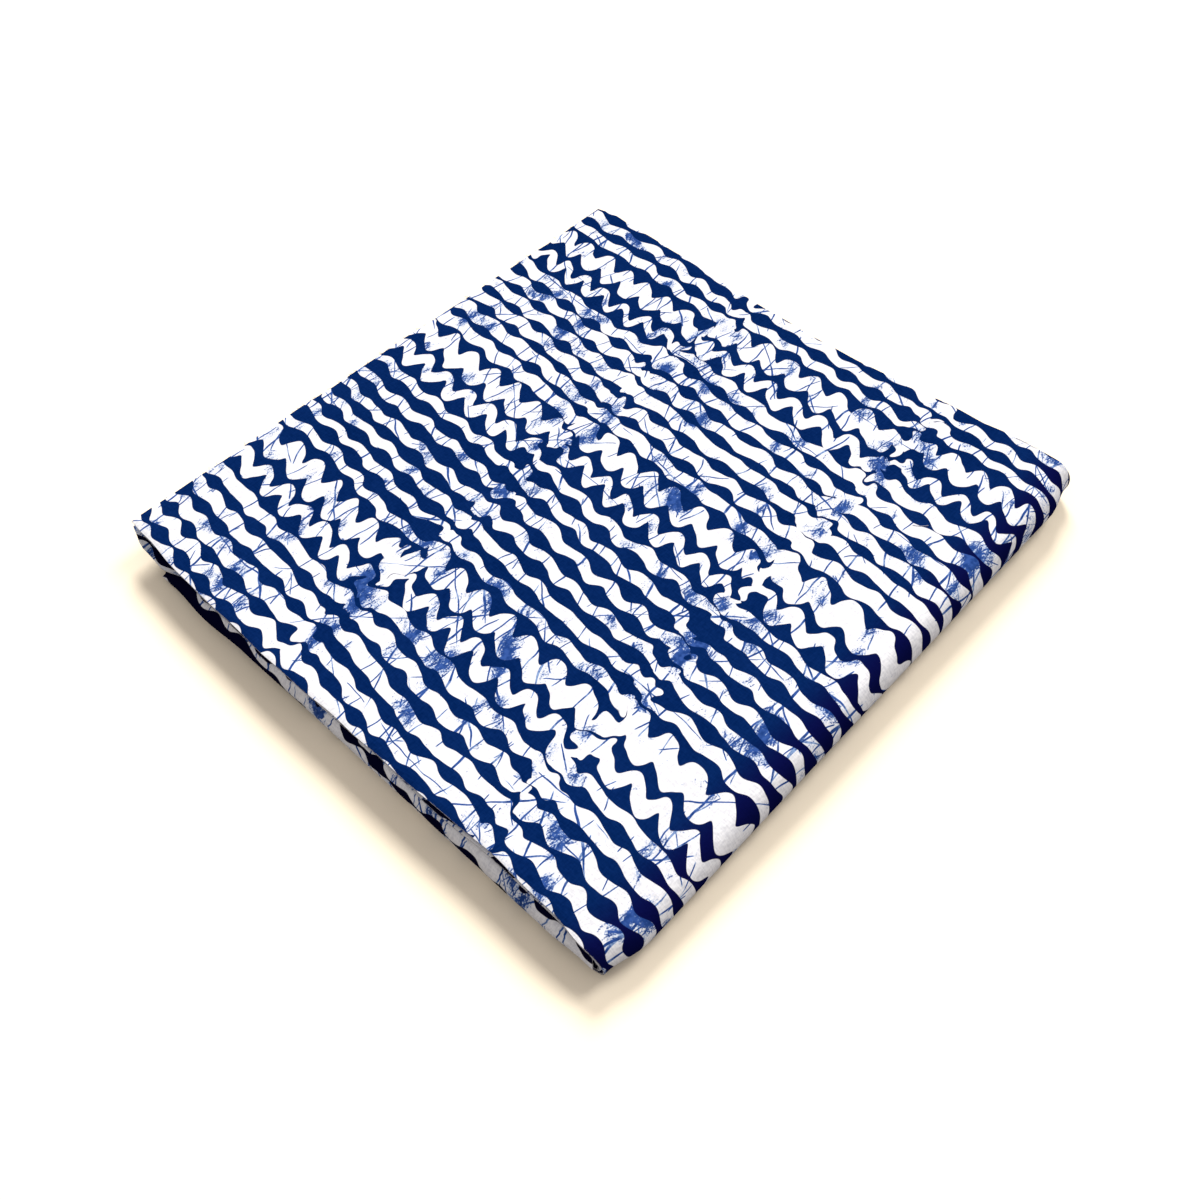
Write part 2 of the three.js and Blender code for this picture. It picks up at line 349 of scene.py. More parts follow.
def bundle_grid():
    """The bundle: its section, carried along X with each row's own start and stop."""
    rows = bundle_rows()
    level, short, tucked = rows[:3]
    middle_y = rows_at(rows, 0 * level)
    end_y = rows_at(rows, 0 * level + PACK_START + INSET_FRONT)
    tuck = tucked * smooth((CORNER_Y - end_y) / CORNER_RUN_Y)
    start = bundle_start(end_y) + short + tuck + edge_wave(end_y + 40 * level, 6.0)
    stop = bundle_stop(level)
    steps = np.hypot(np.diff(middle_y), np.diff(level) * PITCH)
    travelled = np.concatenate([[0], np.cumsum(steps)])
    # In the middle of the lowest ply the flat place runs on from the cover's inner ply
    lowest_ply = np.flatnonzero(level == BUNDLE_LOW)
    joined = lowest_ply[np.argmin(np.abs(middle_y[lowest_ply]))]
    cover_turn = along("back", 0.0) + (SOLID_PLY - PLY - PITCH) / 2
    flat_joined = 2 * cover_turn + math.pi * PITCH / 2 - middle_y[joined]
    flat_y = flat_joined + travelled[joined] - travelled
    cover_end = 2 * WRAP_CENTRE + math.pi * TOP_OUTER * PITCH / 2 - bundle_start(0.0)
    flat_start = cover_end + math.pi * PITCH / 2
    points, flats = [], []
    for share in np.linspace(0, 1, round((WRAP_CENTRE - PACK_START) / COARSE) + 1):
        x = lerp(start, stop, share)
        y = rows_at(rows, x)
        z = swollen(x, y, bundle_height(x, y, level))
        points.append(np.stack([x - drawn_in(x, y), y, z], axis=1))
        flats.append(np.stack([flat_start + x - start, flat_y], axis=1))
    return np.array(points), np.array(flats)


def link_grid():
    """The short fold at the -X end, with tails that run inside the plies it joins."""
    radius = PITCH / 2
    middle = ply_height(1) + radius
    angles = np.linspace(-math.pi / 2, math.pi / 2, LINK_STEPS + 1)
    dx = np.concatenate([[LINK_TAIL], -radius * np.cos(angles), [LINK_TAIL]])
    dz = np.concatenate([[-radius], radius * np.sin(angles), [radius]])
    points, flats = [], []
    for y in np.linspace(LINK_FRONT, LINK_BACK, LINK_ROWS + 1):
        turn = bundle_start(y) + LINK_SHORT
        points.append(np.stack([turn + dx, 0 * dx + y, middle + dz], axis=1))
        flats.append(np.stack([LINK_FLAT_X - dx, 0 * dx + LINK_FLAT_Y - y], axis=1))
    return np.array(points), np.array(flats)


# Threads: frayed ends along the cut edge at -X, and a few loose ones on and behind the pack

THREAD_RADIUS = 0.11
THREAD_SIDES = 5
THREAD_STEPS = 7
FRAY_SEED = 5
FRAYS = 110
FRAY_SPAN = (-144.5, 143.0)
FRAY_LENGTH = (0.7, 1.9)
FRAY_LEVEL = 0.3
FRAY_FLARE = 0.9
FRAY_CURL = 1.4
FRAY_DROP = 0.5
LOOSE_THREADS = (
    {"start": (104.4, 77.4), "turn": 24.0, "length": 6.6, "curl": 0.5},
    {"start": (109.0, 149.4), "turn": 16.0, "length": 6.0, "curl": -0.3},
    {"start": (114.0, 149.6), "turn": 34.0, "length": 3.2, "curl": 0.5},
    {"start": (117.0, 150.2), "turn": -6.0, "length": 4.0, "curl": 0.6},
)


def top_place(x, y):
    """The middle of the uppermost ply at x and y."""
    return np.array([x - drawn_in(x, y), y, swollen(x, y, ply_height(TOP_OUTER))])


def thread_grid(start, turn, length, curl, drop):
    """A thin round thread that leaves a place one way, in degrees from +X, and bends."""
    gone = np.linspace(0, 1, THREAD_STEPS)
    bearing = math.radians(turn) + curl * gone
    step = length / (THREAD_STEPS - 1)
    path = np.stack([np.cos(bearing) * step, np.sin(bearing) * step, -drop * gone * step], axis=1)
    path = start + np.cumsum(path, axis=0)
    along_path = np.gradient(path, axis=0)
    side = np.cross(along_path, (0.0, 0.0, 1.0))
    side /= np.linalg.norm(side, axis=1, keepdims=True)
    lift = np.cross(side, along_path)
    lift /= np.linalg.norm(lift, axis=1, keepdims=True)
    angle = np.linspace(0, 2 * math.pi, THREAD_SIDES + 1)[:, None, None]
    ring = THREAD_RADIUS * (np.cos(angle) * side + np.sin(angle) * lift)
    points = (path + ring).transpose(1, 0, 2)
    return points, np.broadcast_to(start[:2], points.shape[:2] + (2,))


def thread_grids():
    """All the threads. A fray starts within the cut edge, at a level of its own."""
    rng = np.random.default_rng(FRAY_SEED)
    grids = []
    for i in range(FRAYS):
        y = rng.uniform(*FRAY_SPAN)
        x = PACK_START + edge_wave(y, CUT_SEED) + THREAD_RADIUS
        start = top_place(x, y) + (0.0, 0.0, rng.uniform(-FRAY_LEVEL, FRAY_LEVEL) * PLY)
        turn = 180 + math.degrees(rng.uniform(-FRAY_FLARE, FRAY_FLARE))
        length, curl = rng.uniform(*FRAY_LENGTH), rng.uniform(-1, 1) * FRAY_CURL
        grids.append(thread_grid(start, turn, length, curl, rng.uniform(0.0, FRAY_DROP)))
    for loose in LOOSE_THREADS:
        start = top_place(*loose["start"]) + (0.0, 0.0, PLY / 2 + THREAD_RADIUS)
        grids.append(thread_grid(start, loose["turn"], loose["length"], loose["curl"], 0.0))
    return grids


def grid_mesh(name, grids):
    """One mesh from grids of points, with the flat cloth's millimetres as its map."""
    verts, faces, flats = [], [], []
    for points, flat in grids:
        rows, columns = points.shape[:2]
        first = len(verts)
        verts.extend(points.reshape(-1, 3).tolist())
        flats.extend(flat.reshape(-1, 2).tolist())
        for i in range(rows - 1):
            for j in range(columns - 1):
                a = first + i * columns + j
                faces.append((a, a + columns, a + columns + 1, a + 1))
    mesh = bpy.data.meshes.new(name)
    mesh.from_pydata(verts, [], faces)
    layer = mesh.uv_layers.new(name="print")
    loops = np.empty(len(mesh.loops), dtype=np.int32)
    mesh.loops.foreach_get("vertex_index", loops)
    layer.data.foreach_set("uv", np.array(flats, dtype=np.float32)[loops].ravel())
    mesh.polygons.foreach_set("use_smooth", [True] * len(mesh.polygons))
    return mesh


def add_object(name, mesh):
    """A new object in the scene."""
    piece = bpy.data.objects.new(name, mesh)
    bpy.context.scene.collection.objects.link(piece)
    return piece


# Fields: numbers that vary over the cloth, as sockets of a material's nodes

class Field:
    """A number that varies over the cloth. Sums and products of fields add nodes."""

    def __init__(self, tree, socket):
        self.tree = tree
        self.socket = socket

    def math(self, operation, *others, clamp=False):
        node = self.tree.nodes.new("ShaderNodeMath")
        node.operation = operation
        node.use_clamp = clamp
        for slot, value in zip(node.inputs, (self, *others)):
            plug(self.tree, value, slot)
        return Field(self.tree, node.outputs[0])

    def __add__(self, other):
        return self.math("ADD", other)

    __radd__ = __add__

    def __sub__(self, other):
        return self.math("SUBTRACT", other)

    def __rsub__(self, other):
        return self.math("MULTIPLY_ADD", -1.0, other)

    def __mul__(self, other):
        return self.math("MULTIPLY", other)

    __rmul__ = __mul__


def plug(tree, value, slot):
    """Put a field or a number into a node's slot."""
    if isinstance(value, Field):
        tree.links.new(value.socket, slot)
    else:
        slot.default_value = value


def ramp(field, low, high):
    """0 at low, 1 at high, eased between."""
    node = field.tree.nodes.new("ShaderNodeMapRange")
    node.interpolation_type = "SMOOTHSTEP"
    plug(field.tree, field, node.inputs["Value"])
    plug(field.tree, low, node.inputs["From Min"])
    plug(field.tree, high, node.inputs["From Max"])
    return Field(field.tree, node.outputs["Result"])


def pair(x, y):
    """Vector of a field and another field or a number."""
    node = x.tree.nodes.new("ShaderNodeCombineXYZ")
    plug(x.tree, x, node.inputs["X"])
    plug(x.tree, y, node.inputs["Y"])
    return node.outputs["Vector"]


def distance(x, y):
    """Length of the vector of two fields."""
    node = x.tree.nodes.new("ShaderNodeVectorMath")
    node.operation = "LENGTH"
    x.tree.links.new(pair(x, y), node.inputs[0])
    return Field(x.tree, node.outputs["Value"])


def noise_node(x, y, size, seed, detail):
    """Noise with features of the given size, from a part of its own for each seed."""
    node = x.tree.nodes.new("ShaderNodeTexNoise")
    node.noise_dimensions = "2D"
    move = x.tree.nodes.new("ShaderNodeVectorMath")
    move.operation = "ADD"
    x.tree.links.new(pair(x, y), move.inputs[0])
    move.inputs[1].default_value = (seed * size * 7.3, seed * size * 3.1, 0.0)
    x.tree.links.new(move.outputs["Vector"], node.inputs["Vector"])
    node.inputs["Scale"].default_value = 1.0 / size
    node.inputs["Detail"].default_value = detail
    return node


def noise(x, y, size, seed, detail=0.0):
    """Soft noise about 0, from about -1 to 1, with features of the given size."""
    node = noise_node(x, y, size, seed, detail)
    return (Field(x.tree, node.outputs["Fac"]) - 0.5) * 3.0


def noises(x, y, size, seed):
    """Two soft noises at once."""
    node = noise_node(x, y, size, seed, 0.0)
    split = x.tree.nodes.new("ShaderNodeSeparateColor")
    x.tree.links.new(node.outputs["Color"], split.inputs["Color"])
    return [(Field(x.tree, split.outputs[i]) - 0.5) * 3.0 for i in (0, 1)]


def chances(x, y):
    """Three random numbers from 0 to 1 for each whole x and y."""
    node = x.tree.nodes.new("ShaderNodeTexWhiteNoise")
    node.noise_dimensions = "2D"
    x.tree.links.new(pair(x, y), node.inputs["Vector"])
    split = x.tree.nodes.new("ShaderNodeSeparateColor")
    x.tree.links.new(node.outputs["Color"], split.inputs["Color"])
    return [Field(x.tree, split.outputs[i]) for i in range(3)]


def blend(tree, share, first, second):
    """Mix of two colours, each a colour or the output of another blend."""
    node = tree.nodes.new("ShaderNodeMix")
    node.data_type = "RGBA"
    plug(tree, share, node.inputs["Factor"])
    colour_slots = [s for s in node.inputs if s.type == "RGBA"]
    for slot, value in zip(colour_slots, (first, second)):
        if isinstance(value, bpy.types.NodeSocket):
            tree.links.new(value, slot)
        else:
            slot.default_value = (*value, 1.0)
    return [s for s in node.outputs if s.type == "RGBA"][0]


# The print, in millimetres of the flat cloth. Wax was stamped in blocks that lap over each
# other, and dye took everywhere else. A block holds six wavy ribbons and two toothed bands.
# Places down the block are counted from the middle of its first ribbon. Odds are how much
# more a size can be by chance.
BLOCK_WIDTH = 113.0
BLOCK_CENTRE = 20.0
BLOCK_LEAN = 0.075
BLOCK_JITTER = 3.0
BLOCK_SEED = 3.7
REPEAT = 95.0
CELL_TOP = -4.6
FIRST_RIBBON = -8.3
LAST_RIBBON = 5.0
RIBBON_SEED = 9.1
RIBBON_PITCH = 10.7
RIBBON_HALF, RIBBON_HALF_ODDS = 2.15, 0.4
RIBBON_REACH, RIBBON_REACH_ODDS = 61.0, 7.0
RIBBON_WAVE, RIBBON_WAVE_ODDS = 0.75, 0.8
RIBBON_LENGTH, RIBBON_LENGTH_ODDS = 17.4, 2.6
RIBBON_PHASE_ODDS = 1.1
HEAVY_STAMP, STAMP_FADE = 0.75, 0.2
BAND_REACH, BAND_REACH_ODDS = 57.5, 3.0
BAND_THIN = 0.65
TOOTH_LENGTH, TOOTH_LENGTH_ODDS = 13.8, 2.6
TOOTH_SHIFT_ODDS = 9.0
TOOTH_LEAN = 0.2
TOOTH_SLOPE = 0.62
LOWER_DRIFT, LOWER_DRIFT_ODDS = 1.3, 1.5
NOTCH_ROUND = 0.045
UPPER_BAND = {"top_notch": 67.9, "top_lobe": 8.8, "low_notch": 68.5, "low_lobe": 7.8}
LOWER_BAND = {"top_notch": 85.2, "top_lobe": 8.5, "low_notch": 80.5, "low_lobe": 9.3}
MELT = 0.9


def toothed(across, down, top_notch, top_lobe, low_notch, low_lobe):
    """How far inside a band with round lobes above and below, and sharp notches between."""
    top = (across.math("SINE").math("POWER", 2.0) + NOTCH_ROUND).math("SQRT")
    low = (across.math("COSINE").math("POWER", 2.0) + NOTCH_ROUND).math("SQRT")
    inside_top = down + top * top_lobe - top_notch
    inside_low = low * low_lobe + low_notch - down
    return inside_top.math("SMOOTH_MIN", inside_low, MELT) * TOOTH_SLOPE


def wax_of_block(x, y, odd):
    """How far inside the wax of the nearest even or odd block a point lies."""
    middle = BLOCK_CENTRE + odd * BLOCK_WIDTH
    column = ((x - middle) * (0.5 / BLOCK_WIDTH)).math("ROUND")
    p = x - column * (2 * BLOCK_WIDTH) - middle
    shift = chances(column, BLOCK_SEED + odd)[0] * BLOCK_JITTER
    below = FIRST_RIBBON - CELL_TOP - (y + p * BLOCK_LEAN + shift)
    cell = (below * (1 / REPEAT)).math("FLOOR")
    down = below - cell * REPEAT + CELL_TOP
    first, second, third = chances(column * 2.0 + odd, cell)

    row = (down * (1 / RIBBON_PITCH)).math("ROUND").math("MAXIMUM", 0.0)
    row = row.math("MINIMUM", LAST_RIBBON)
    odds, more_odds, _ = chances(row, cell + RIBBON_SEED + odd)
    turns = p.math("DIVIDE", first * RIBBON_LENGTH_ODDS + RIBBON_LENGTH)
    phase = row * math.pi + odds * RIBBON_PHASE_ODDS
    wave = (turns * (2 * math.pi) + phase).math("SINE")
    wave = wave * (more_odds * RIBBON_WAVE_ODDS + RIBBON_WAVE)
    from_middle = p.math("ABSOLUTE")
    beyond = (from_middle - RIBBON_REACH + odds * RIBBON_REACH_ODDS).math("MAXIMUM", 0.0)
    stamp = cell.math("PINGPONG", 1.0) * HEAVY_STAMP - cell * STAMP_FADE
    half = stamp + third * RIBBON_HALF_ODDS + RIBBON_HALF
    ribbon = half - distance(beyond, down - row * RIBBON_PITCH - wave)

    tooth = second * TOOTH_LENGTH_ODDS + TOOTH_LENGTH
    leaning = p - down * TOOTH_LEAN + third * TOOTH_SHIFT_ODDS
    upper = toothed(leaning.math("DIVIDE", tooth) * math.pi, down, **UPPER_BAND)
    drifted = leaning + first * LOWER_DRIFT_ODDS + LOWER_DRIFT
    lower = toothed(drifted.math("DIVIDE", tooth) * math.pi, down, **LOWER_BAND)
    bands = upper.math("SMOOTH_MAX", lower, MELT) + second - BAND_THIN
    past_bands = from_middle - BAND_REACH + more_odds * BAND_REACH_ODDS
    bands = bands - past_bands.math("MAXIMUM", 0.0)
    return ribbon.math("SMOOTH_MAX", bands, MELT)


# Cracks in the wax, in families that run about one way each, in degrees from Y
CRACKS = (
    {"angle": 2, "spacing": 8.0, "width": 0.40, "share": 0.44},
    {"angle": -13, "spacing": 13.0, "width": 0.36, "share": 0.42},
    {"angle": 22, "spacing": 14.0, "width": 0.38, "share": 0.42},
    {"angle": 52, "spacing": 20.0, "width": 0.36, "share": 0.38},
    {"angle": -47, "spacing": 22.0, "width": 0.32, "share": 0.38},
    {"angle": 83, "spacing": 26.0, "width": 0.24, "share": 0.34},
)
CRACK_SEED = 11.0
CRACK_LENGTH = 25.0
CRACK_THIN, CRACK_THICK = 0.25, 0.8
CRACK_FADE_SIZE, CRACK_FADE = 6.0, 0.6
CRACK_OUTSIDE, CRACK_INSIDE = 0.22, -0.10
CRACK_CROWDED = 0.45
LANE_MARGIN = 0.1
BEND_WIDE, BEND_NEAR = 2.5, 0.5


def crack_family(x, y, bend, crowd, angle, spacing, width, share, seed):
    """Cracks in the wax that run about one way, one at a random place in each lane."""
    c, s = math.cos(math.radians(angle)), math.sin(math.radians(angle))
    across = (x * c + y * s + bend) * (1 / spacing)
    length = y * c - x * s
    lane = across.math("FLOOR")
    place = chances(lane, seed)[0] * (1 - 2 * LANE_MARGIN) + LANE_MARGIN
    off = (across - lane - place).math("ABSOLUTE") * spacing
    shown = noise(length, lane * 37.0, size=CRACK_LENGTH, seed=seed) + crowd * CRACK_CROWDED
    thick = (shown * CRACK_THICK + CRACK_THIN) * width
    fade = ramp(noise(length, lane * 11.0, size=CRACK_FADE_SIZE, seed=seed), -0.9, 0.5)
    strength = fade * CRACK_FADE + (1 - CRACK_FADE)
    line = ramp(off - thick, CRACK_OUTSIDE, CRACK_INSIDE)
    return line * ramp(shown, 0.5 - share, 0.6 - share) * strength


def flakes(x, y, size):
    """A random number from 0 to 1 for each flake of cracked wax."""
    node = x.tree.nodes.new("ShaderNodeTexVoronoi")
    node.voronoi_dimensions = "2D"
    x.tree.links.new(pair(x, y), node.inputs["Vector"])
    node.inputs["Scale"].default_value = 1.0 / size
    split = x.tree.nodes.new("ShaderNodeSeparateColor")
    x.tree.links.new(node.outputs["Color"], split.inputs["Color"])
    return Field(x.tree, split.outputs[0])


def streaks(x, y, angle, size, seed):
    """Fine streaks that lie one way, about nine times as long as they are wide."""
    c, s = math.cos(math.radians(angle)), math.sin(math.radians(angle))
    return noise(x * c + y * s, (y * c - x * s) * 0.11, size, seed, detail=1.0)


# How far the wax strays from its blocks: over wide and over near stretches, and more by a
# joint of two blocks
WIDE_SIZE, NEAR_SIZE = 46.0, 8.0
WIDE_STRAY_X, WIDE_STRAY_Y = 1.6, 1.5
NEAR_STRAY_X, NEAR_STRAY_Y = 0.9, 0.65
JOINT_STRAY_X, JOINT_STRAY_Y = 3.0, 2.2
JOINT_WANDER = 3.0
JOINT_REACH, JOINT_FULL = 14.0, 3.0
WAX_UNEVEN = 0.6
WAX_EDGE = 0.10

# Painted shade: the navy is darker where the flat cloth lies past these lines, on the wrap's round
# and on the inner plies, which lie in shade
FOLD_SHADE_LINE, FOLD_SHADE_EASE = 118.0, 18.0
INNER_SHADE_LINE_X, INNER_SHADE_LINE_Y, INNER_SHADE_EASE = 392.0, 158.0, 10.0

# On the inner plies near -X the dye also spread far under the wax
# The navy there is the inner plies' navy, darkened as painted shade
SPREAD = 3.2
SPREAD_FROM, SPREAD_FROM_EASE = 412.0, 8.0
SPREAD_TO, SPREAD_TO_EASE = 530.0, 40.0

# Where the wax was rubbed or cracked, dye washed in: what makes up a patch of wash, and from
# where to where it tints the white and stains it
WASH_JOINT, WASH_FLAKE, WASH_CROWD, WASH_LESS = 0.3, 0.5, 0.35, 0.4
WASH_FLECK = 0.3
TINT_GRAIN, TINT_WASH, TINT_CRACK = 0.35, (0.25, 0.95), (0.0, 0.4)
STAIN_GRAIN, STAIN_WASH, STAIN_CRACK = 0.65, (0.62, 1.02), (0.18, 0.75)
CRACK_FLECK = 0.2

# Colours, as shares of light given back
NAVY_DEEP = (0.0003, 0.0090, 0.058)
NAVY_PALE = (0.0024, 0.0168, 0.090)
# The next two are the navy darkened as painted shade: on the wrap's round, and on the inner plies
NAVY_FOLD_PAINTED_SHADE = (0.0020, 0.0030, 0.040)
NAVY_INNER_PAINTED_SHADE = (0.0016, 0.0017, 0.014)
STAIN = (0.030, 0.075, 0.260)
STAIN_DEEP = (0.012, 0.040, 0.165)
PALE_STAIN = (0.24, 0.34, 0.53)
WHITE = (0.73, 0.715, 0.72)
WHITE_DULL = (0.60, 0.59, 0.61)
CUT_EDGE = (0.66, 0.64, 0.66)

# The weave: pitch of its threads, width of a slub as a share of its length, and its relief
THREAD_PITCH = 0.62
SLUB_WIDTH = 0.35
RELIEF, RELIEF_SHARE = 0.12, 0.35
ROUGH_LEAST, ROUGH_ODDS = 0.8, 0.12


def waxed_share(x, y, wide, near, joint):
    """1 where wax kept the cloth white, 0 where the dye took."""
    hand_x = x + wide[0] * WIDE_STRAY_X + near[0] * (joint * JOINT_STRAY_X + NEAR_STRAY_X)
    hand_y = y + wide[1] * WIDE_STRAY_Y + near[1] * (joint * JOINT_STRAY_Y + NEAR_STRAY_Y)
    even = wax_of_block(hand_x, hand_y, 0)
    odd = wax_of_block(hand_x, hand_y, 1)
    uneven = noise(x, y, size=15.0, seed=3.0, detail=1.0) * WAX_UNEVEN
    wax = even.math("SMOOTH_MAX", odd, MELT) + uneven
    spread = ramp(x, SPREAD_FROM, SPREAD_FROM + SPREAD_FROM_EASE)
    spread = spread * ramp(x, SPREAD_TO, SPREAD_TO - SPREAD_TO_EASE)
    return ramp(wax - spread * SPREAD, -WAX_EDGE, WAX_EDGE)


def stained_shares(x, y, wide, near, joint):
    """How far the wax's white is tinted, and how far it is stained, each from 0 to 1."""
    bend = wide[0] * BEND_WIDE + near[1] * BEND_NEAR
    crowd = noise(x + y * 0.2, y * 0.3, size=17.0, seed=20.0)
    cracks = None
    for i, family in enumerate(CRACKS):
        lines = crack_family(x, y, bend, crowd, seed=CRACK_SEED + i, **family)
        cracks = lines if cracks is None else cracks.math("MAXIMUM", lines)
    grain = streaks(x + near[1], y, angle=24, size=1.1, seed=22.0)
    grain = grain.math("MAXIMUM", streaks(x + near[0], y, angle=-31, size=1.2, seed=25.0))
    low_grain = streaks(x + near[1], y + near[0], angle=4, size=0.9, seed=27.0)
    grain = grain.math("MAXIMUM", low_grain)
    flaked = flakes(x + near[1], y + near[0], size=8.0) * WASH_FLAKE
    wash = noise(x, y * 0.6, size=11.0, seed=21.0, detail=1.0)
    wash = wash + joint * WASH_JOINT + flaked + crowd * WASH_CROWD - WASH_LESS
    fleck = noise(x, y, size=0.7, seed=23.0, detail=1.0)
    wash = wash + fleck * WASH_FLECK
    tint = ramp(wash + grain * TINT_GRAIN, *TINT_WASH)
    tint = tint.math("MAXIMUM", ramp(cracks, *TINT_CRACK))
    stain = ramp(wash + grain * STAIN_GRAIN, *STAIN_WASH)
    stain = stain.math("MAXIMUM", ramp(cracks + fleck * CRACK_FLECK, *STAIN_CRACK))
    return tint, stain


def dye_colour_with_painted_shade(tree, x, y, slubs):
    """Navy, uneven in patches, and darkened as painted shade on the wrap's round and inner plies.
    """
    dye = noise(x, y, size=33.0, seed=32.0, detail=2.0) * 0.3 + slubs * 0.25 + 0.5
    navy = blend(tree, dye.math("ADD", 0.0, clamp=True), NAVY_DEEP, NAVY_PALE)
    # Painted shade: darker navy on the wrap's round, then darker still on the inner plies
    navy = blend(tree, ramp(x, FOLD_SHADE_LINE, FOLD_SHADE_LINE + FOLD_SHADE_EASE), navy, NAVY_FOLD_PAINTED_SHADE)
    inner = ramp(x, INNER_SHADE_LINE_X, INNER_SHADE_LINE_X + INNER_SHADE_EASE)
    inner = inner.math("MAXIMUM", ramp(y, INNER_SHADE_LINE_Y, INNER_SHADE_LINE_Y + INNER_SHADE_EASE))
    return blend(tree, inner, navy, NAVY_INNER_PAINTED_SHADE)


def weave(tree, surface, x, y):
    """The weave's threads as a fine relief, thicker here and there, on a dull surface."""
    warp = (x * (2 * math.pi / THREAD_PITCH)).math("SINE")
    weft = (y * (2 * math.pi / THREAD_PITCH)).math("SINE")
    thick_warp = noise(x, y * SLUB_WIDTH, size=1.1, seed=41.0, detail=1.0)
    thick_weft = noise(x * SLUB_WIDTH, y, size=1.1, seed=42.0, detail=1.0)
    height = warp * weft * 0.5 + thick_warp * 0.7 + thick_weft * 0.7
    bump = tree.nodes.new("ShaderNodeBump")
    bump.inputs["Strength"].default_value = RELIEF_SHARE
    bump.inputs["Distance"].default_value = RELIEF * MM
    tree.links.new(height.socket, bump.inputs["Height"])
    tree.links.new(bump.outputs["Normal"], surface.inputs["Normal"])
    rough = ramp(thick_warp, -1.0, 1.0) * ROUGH_ODDS + ROUGH_LEAST
    tree.links.new(rough.socket, surface.inputs["Roughness"])
    surface.inputs["Specular IOR Level"].default_value = 0.0


def printed_cotton(name, bleach):
    """Waxed and dyed cotton. Bleach is the share of pale thread that shows, as on a cut edge."""
    material = bpy.data.materials.new(name)
    material.use_nodes = True
    tree = material.node_tree
    surface = tree.nodes["Principled BSDF"]
    place = tree.nodes.new("ShaderNodeUVMap")
    place.uv_map = "print"
    split = tree.nodes.new("ShaderNodeSeparateXYZ")
    tree.links.new(place.outputs["UV"], split.inputs["Vector"])
    x = Field(tree, split.outputs["X"])
    y = Field(tree, split.outputs["Y"])

    wide = noises(x, y, size=WIDE_SIZE, seed=1.0)
    near = noises(x, y, size=NEAR_SIZE, seed=2.0)
    to_joint = (x + wide[0] * JOINT_WANDER - BLOCK_CENTRE).math("PINGPONG", BLOCK_WIDTH / 2)
    joint = ramp(to_joint, BLOCK_WIDTH / 2 - JOINT_REACH, BLOCK_WIDTH / 2 - JOINT_FULL)
    waxed = waxed_share(x, y, wide, near, joint)
    tint, stain = stained_shares(x, y, wide, near, joint)

    slubs = noise(x * 0.25, y, size=0.8, seed=31.0, detail=1.0)
    slubs = slubs + noise(x, y * 0.25, size=0.8, seed=34.0, detail=1.0)
    white = blend(tree, ramp(slubs, -0.9, 1.1), WHITE, WHITE_DULL)
    depth = ramp(noise(x, y, size=2.2, seed=24.0, detail=1.0), -0.8, 0.7)
    patch = blend(tree, depth, STAIN, STAIN_DEEP)
    stained = blend(tree, stain, blend(tree, tint, white, PALE_STAIN), patch)
    colour = blend(tree, waxed, dye_colour_with_painted_shade(tree, x, y, slubs), stained)
    if bleach:
        pale = ramp(noise(x, y, size=1.5, seed=33.0, detail=1.0), -1.2, 0.9) * bleach
        colour = blend(tree, pale, colour, CUT_EDGE)
    tree.links.new(colour, surface.inputs["Base Color"])
    weave(tree, surface, x, y)
    return material


# Cloth

BLEACHED_EDGE = 0.8

grids = [cover_grid(), bundle_grid(), link_grid()]
lowest = np.min([points.reshape(-1, 3).min(axis=0) for points, _ in grids], axis=0)
highest = np.max([points.reshape(-1, 3).max(axis=0) for points, _ in grids], axis=0)
centre = (lowest + highest) / 2
solid_centre = np.array((solid_lo + solid_hi) / 2) / MM
# From the outline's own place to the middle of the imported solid
TO_FRAME = np.array([solid_centre[0] - centre[0], solid_centre[1] - centre[1], 0.0])

cloth_mesh = grid_mesh("cloth_sheet", [((p + TO_FRAME) * MM, f) for p, f in grids])
cloth = add_object("cloth_sheet", cloth_mesh)
cloth_mesh.materials.append(printed_cotton("printed_cotton", 0.0))
cloth_mesh.materials.append(printed_cotton("cut_edge", BLEACHED_EDGE))
thickness = cloth.modifiers.new("thickness", "SOLIDIFY")
thickness.thickness = PLY * MM
thickness.offset = 0.0
thickness.use_even_offset = False
thickness.material_offset_rim = 1
shading = cloth.modifiers.new("crisp_edges", "WEIGHTED_NORMAL")
shading.weight = 100

threads_mesh = grid_mesh("threads", [((p + TO_FRAME) * MM, f) for p, f in thread_grids()])
threads = add_object("threads", threads_mesh)
threads_mesh.materials.append(cloth_mesh.materials[1])

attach(cloth, "root")
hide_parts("cloth")
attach(threads, "root")

# Floor and light

# The floor's size is in metres. It looks paler than the light it gives back to the cloth.
FLOOR_SIZE = 12.0
FLOOR_SEEN = (0.93, 0.81, 0.63)
FLOOR_GIVEN = (0.29, 0.265, 0.235)
WINDOWS = (
    {"towards": (-0.95, 1.0, 1.0), "energy": 3.75, "angle": 20.0},
    {"towards": (0.05, 1.0, 1.0), "energy": 1.6, "angle": 22.0},
)
ROOM_COLOUR, ROOM_LIGHT = (1.0, 0.98, 0.99, 1), 0.6
BACKDROP_COLOUR, BACKDROP_LIGHT = (1, 1, 1, 1), 1.0

